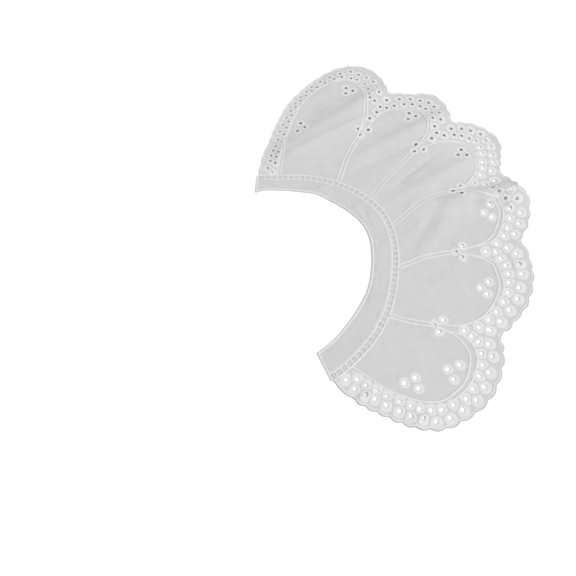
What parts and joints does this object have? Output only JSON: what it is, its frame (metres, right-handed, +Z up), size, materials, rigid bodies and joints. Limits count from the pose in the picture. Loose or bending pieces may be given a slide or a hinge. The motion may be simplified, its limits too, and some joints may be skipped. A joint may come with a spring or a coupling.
{
  "type": "detachable collar half",
  "caption": "One side of a flat detachable collar: eyelet-edged petal lobes with corded outlines and a scalloped rim, joined by an openwork ladder to a curved neck band.",
  "frame": {"origin": "under the middle of the collar half's outline, on the surface that it lies on", "axes": "+Z up off the surface, right side of the cloth up; +Y along the longest extent, towards the end of the band beside the largest petal; +X away from the neck"},
  "size_m": [0.1774, 0.2672, 0.0088],
  "materials": {
    "cotton_lawn": "thin plain-woven cotton, matt, slightly translucent",
    "band_cotton": "doubled plain-woven cotton, matt",
    "embroidery_thread": "cotton embroidery thread, soft sheen"
  },
  "bodies": {
    "root": {"neck_band": "band_cotton", "ladder_trim": "embroidery_thread", "collar_body": "cotton_lawn", "scalloped_edging": "embroidery_thread", "petal_cord_1": "embroidery_thread", "petal_cord_2": "embroidery_thread", "petal_cord_3": "embroidery_thread", "petal_cord_4": "embroidery_thread", "petal_cord_5": "embroidery_thread", "petal_cord_6": "embroidery_thread"}
  },
  "joints": []
}
